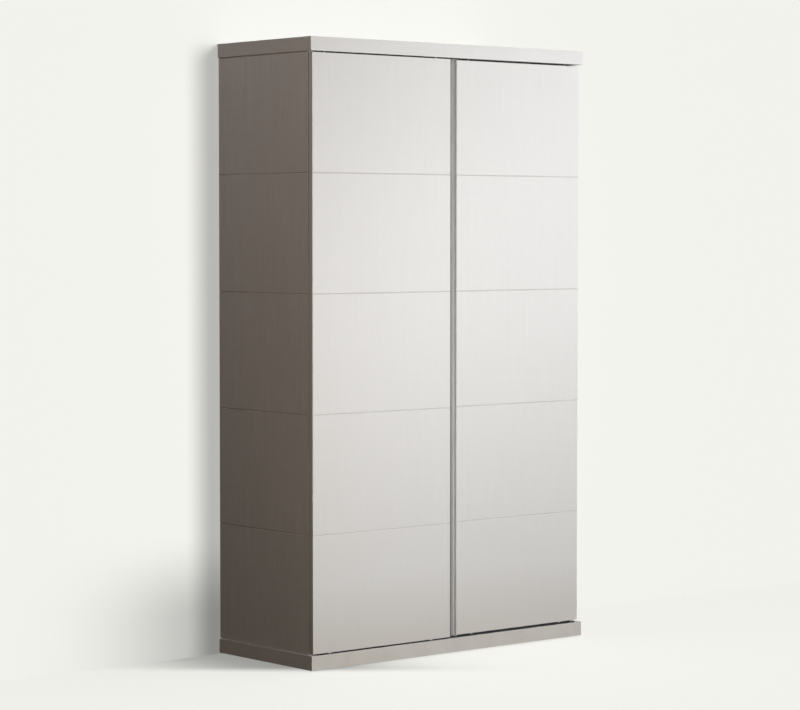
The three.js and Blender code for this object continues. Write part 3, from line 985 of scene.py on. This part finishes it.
wedgeSettings = {
    "profile": metres([(0, 0.05, 0), (16, 0.05, 0.8), (16, 2.5, 1.2), (5, 6.8, 2), (0, 6.8, 0)]),
    "half": 14 * mm,
    "heights": (250 * mm, 800 * mm, 1350 * mm, 1900 * mm),
}
backPanelLow, backPanelHigh = cornersOf("left_back_panel")[0], cornersOf("right_back_panel")[1]


# Small wedges screwed to the sides that press the back panels forward.
def backWedge(edge, inward, z):
    shape, half = wedgeSettings["profile"], wedgeSettings["half"]
    outline = roundedOutline([(edge + inward * x, backPanelHigh.y + y, radius) for x, y, radius in shape])
    return carried("wedge", outline, "Z", z - half, z + half), Matrix.Identity(4)


wedges = [backWedge(edge, inward, z) for edge, inward in ((backPanelLow.x, 1), (backPanelHigh.x, -1))
          for z in wedgeSettings["heights"]]
showPiece("backWedges", gathered("backWedges", wedges), "whiteNylon", "carcass", smoothAngle=30)

# Feet.

footProfile = metres([
    (0, 0.4), (3.2, 0.4), (3.6, 0), (9, 0), (9.3, 0.5), (10.2, 0.5), (10.5, 0), (14, 0), (14.3, 0.5),
    (15.2, 0.5), (15.5, 0), (18.9, 0), (19.6, 0.3), (20, 1.1), (20, 3.4), (19.7, 4.2), (19.0, 4.7), (0, 4.7)])
for end in ("front", "rear"):
    for side in ("left", "right"):
        node = f"foot_{end}_{side}"
        centre = middleOf(node)
        mesh = turned(node + "_turned", footProfile, (centre.x, centre.y, 0), steps=72)
        showPiece(node + "_turned", mesh, "blackPlastic", "carcass", [node], 35)
print("back and feet made")

# Studio.

studio = {
    "tone": (0.896, 0.896, 0.855),          # what the camera sees of backdrop, wall and floor
    "albedo": 0.35,
    "wallFace": 0.2655,
    "reach": 40.0,
    "ambient": 0.012,
    "aimHeight": 1.1,
}
floorLook = {
    "glow": 0.85,                           # part of the floor's tone that no shadow takes away
    "castShare": 0.5,                       # part of the rest that casts the soft shadow
    "trim": 0.77,
    "shadeDepth": 0.58,                     # painted shade beside the wardrobe
    "shadeReach": 0.32,
    "slant": (0.644, 0.765),                # the shade ends along a slanting edge, over this range
    "slantFrom": -0.62,
    "slantTo": -0.485,
}
wallLook = {
    "glow": 0.51,
    "trim": 0.975,
    "shadeDepth": 0.45,
    "shadeReach": 0.416,
    "shadeTop": 0.45,                       # the shade fades out between these heights
    "shadeFull": 0.13,
}
stageTint = toned(studio["tone"], studio["albedo"] / studio["tone"][0])


# Paints soft shade on the stage at the wardrobe's left, as deep as a share says.
def paintShade(tree, shader, axes, look, share):
    values = {"Across": axes["X"], "Edge": cadBox[0][0], "Reach": look["shadeReach"]}
    beside = placeGroup(tree, edgeShadeGroup, values)
    shade = maths(tree, "MULTIPLY", beside["Shade"], share)
    for socket, colour in (("Base Color", stageTint), ("Emission Color", studio["tone"])):
        tree.links.new(blendColours(tree, shade, opaque(colour), (0, 0, 0, 1)), shader.inputs[socket])
    shader.inputs["Emission Strength"].default_value = look["glow"]


def makeFloorFinish():
    look = floorLook
    material, tree, shader, _, axes = finish("paleFloor", stageTint, 1.0, specular=0.0)
    perX, perY = look["slant"]
    slant = maths(tree, "MULTIPLY_ADD", axes["X"], perX, maths(tree, "MULTIPLY", axes["Y"], perY))
    share = span(tree, slant, look["slantFrom"], look["slantTo"], 0.0, look["shadeDepth"], "SMOOTHSTEP")
    paintShade(tree, shader, axes, look, share)
    return material


# From behind the wall isn't there, so that the back of the wardrobe can be looked at.
def makeWallFinish():
    look = wallLook
    material, tree, shader, _, axes = finish("paleWall", stageTint, 1.0, specular=0.0)
    share = span(tree, axes["Z"], look["shadeTop"], look["shadeFull"], 0.0, look["shadeDepth"], "SMOOTHSTEP")
    paintShade(tree, shader, axes, look, share)
    behind = tree.nodes.new("ShaderNodeNewGeometry").outputs["Backfacing"]
    clear = tree.nodes.new("ShaderNodeBsdfTransparent").outputs[0]
    mixed = put(tree, "ShaderNodeMixShader", {0: behind, 1: shader.outputs[0], 2: clear})
    tree.links.new(mixed.outputs[0], tree.nodes["Material Output"].inputs["Surface"])
    return material


def stageSheet(name, corners, look):
    sheet = bpy.data.objects.new(name, bpy.data.meshes.new(name))
    sheet.data.from_pydata(corners, [], [(0, 1, 2, 3)])
    scene.collection.objects.link(sheet)
    sheet.data.materials.append(look)
    for way in ("visible_diffuse", "visible_glossy", "visible_transmission", "visible_shadow"):
        setattr(sheet, way, False)
    return sheet


reach, face = studio["reach"], studio["wallFace"]
floorCorners = [(-reach, -reach, 0), (reach, -reach, 0), (reach, reach, 0), (-reach, reach, 0)]
wallCorners = [(-reach, face, 0), (reach, face, 0), (reach, face, reach), (-reach, face, reach)]
floor = stageSheet("floor", floorCorners, makeFloorFinish())
wall = stageSheet("wall", wallCorners, makeWallFinish())

world = bpy.data.worlds.new("studio")
scene.world = world
world.use_nodes = True
worldTree = world.node_tree
seen = worldTree.nodes.new("ShaderNodeLightPath").outputs["Is Camera Ray"]
ambient = opaque([studio["ambient"]] * 3)
backdrop = blendColours(worldTree, seen, ambient, opaque(studio["tone"]))
worldTree.links.new(backdrop, worldTree.nodes["Background"].inputs["Color"])

cameraSetup = {
    "eye": (-6.2548, -7.4019, 1.5043),
    "turn": 40.108,                         # degrees away from looking straight at the doors
    "tiltDown": 2.685,
    "lens": 121.34,
}
camera = bpy.data.objects.new("camera", bpy.data.cameras.new("camera"))
scene.collection.objects.link(camera)
camera.location = cameraSetup["eye"]
camera.rotation_euler = (math.radians(90 - cameraSetup["tiltDown"]), 0, math.radians(-cameraSetup["turn"]))
camera.data.lens = cameraSetup["lens"]
camera.data.dof.use_dof = False
scene.camera = camera

# Directions of the suns: degrees round from straight in front (to the right is positive), degrees up.
suns = {
    "cast": {"round": 50, "up": 62, "spread": 46},
    "frontal": {"round": 9.7, "up": 4, "spread": 12},
    "overhead": {"round": 0, "up": 90, "spread": 50},
}
softBoxes = {
    "keyRight": {"at": (3.2, -4.2, 1.4), "watts": 111, "size": 1.6, "tint": (1.0, 1.0, 1.02)},
    "highNear": {"at": (1.2, -2.0, 2.6), "watts": 11, "size": 1.0, "tint": (1.0, 1.0, 1.0)},
    "nearRight": {"at": (2.0, -1.6, 2.2), "watts": 4.5, "size": 1.0, "tint": (1.0, 1.0, 1.05)},
    "lowLeft": {"at": (-0.8, -2.4, 0.6), "watts": 17.5, "size": 0.8, "tint": (1.02, 0.99, 0.96)},
    "nearFront": {"at": (0.2, -3.2, 1.8), "watts": 8, "size": 1.4, "tint": (1.0, 1.0, 1.0)},
    "highLeft": {"at": (-2.6, 0.2, 4.2), "watts": 19, "size": 1.4, "tint": (1.0, 0.94, 0.98)},
    "farLeft": {"at": (-5.5, -2.5, 2.6), "watts": 13, "size": 2.0, "tint": (1.0, 0.48, 0.1)},
    "nearLeft": {"at": (-1.9, -1.3, 1.9), "watts": 1.1, "size": 0.8, "tint": (1.0, 0.8, 0.4)},
    "above": {"at": (0.35, 0.6, 4.6), "watts": 26, "size": 0.9, "tint": (1.0, 1.0, 1.0)},
    "rear": {"at": (1.6, 4.5, 3.0), "watts": 150, "size": 2.4, "tint": (1.0, 0.99, 0.97)},
}


def sunDirection(sun):
    turnAngle, upAngle = math.radians(sun["round"]), math.radians(sun["up"])
    flat = math.cos(upAngle)
    return Vector((flat * math.sin(turnAngle), -flat * math.cos(turnAngle), math.sin(upAngle)))


# The suns are balanced so that open floor and open wall both come out in the stage's tone.
level = studio["tone"][0] * math.pi / studio["albedo"]
floorLevel = level * (1 - floorLook["glow"]) * floorLook["trim"]
wallLevel = level * (1 - wallLook["glow"]) * wallLook["trim"]
sunPowers = {
    "cast": floorLook["castShare"] * floorLevel / sunDirection(suns["cast"]).z,
    "frontal": wallLevel / -sunDirection(suns["frontal"]).y,
    "overhead": (1 - floorLook["castShare"]) * floorLevel,
}
pieces = [thing for thing in scene.objects if thing.type == "MESH" and thing not in (floor, wall)]
lit = {"object": pieces, "cast": [floor], "frontal": [wall], "overhead": [floor]}
receivers = {}
for label, things in lit.items():
    receivers[label] = bpy.data.collections.new(label + "Only")
    for thing in things:
        receivers[label].objects.link(thing)


def placeLamp(name, kind, at, target, receiver):
    lamp = bpy.data.lights.new(name, kind)
    holder = bpy.data.objects.new(name, lamp)
    scene.collection.objects.link(holder)
    holder.location = at
    holder.rotation_euler = (Vector(target) - Vector(at)).to_track_quat("-Z", "Y").to_euler()
    holder.light_linking.receiver_collection = receivers[receiver]
    return lamp


for name, sun in suns.items():
    lamp = placeLamp(name, "SUN", sunDirection(sun) * 6, (0, 0, 0), name)
    lamp.energy = sunPowers[name]
    lamp.angle = math.radians(sun["spread"])
for name, setup in softBoxes.items():
    aimDepth = 0.2 if setup["at"][1] > 3 else -0.2
    lamp = placeLamp(name, "AREA", setup["at"], (0, aimDepth, studio["aimHeight"]), "object")
    lamp.energy = setup["watts"]
    lamp.size = setup["size"]
    lamp.color = setup["tint"]
scene.view_settings.view_transform = "Standard"
print("studio made")
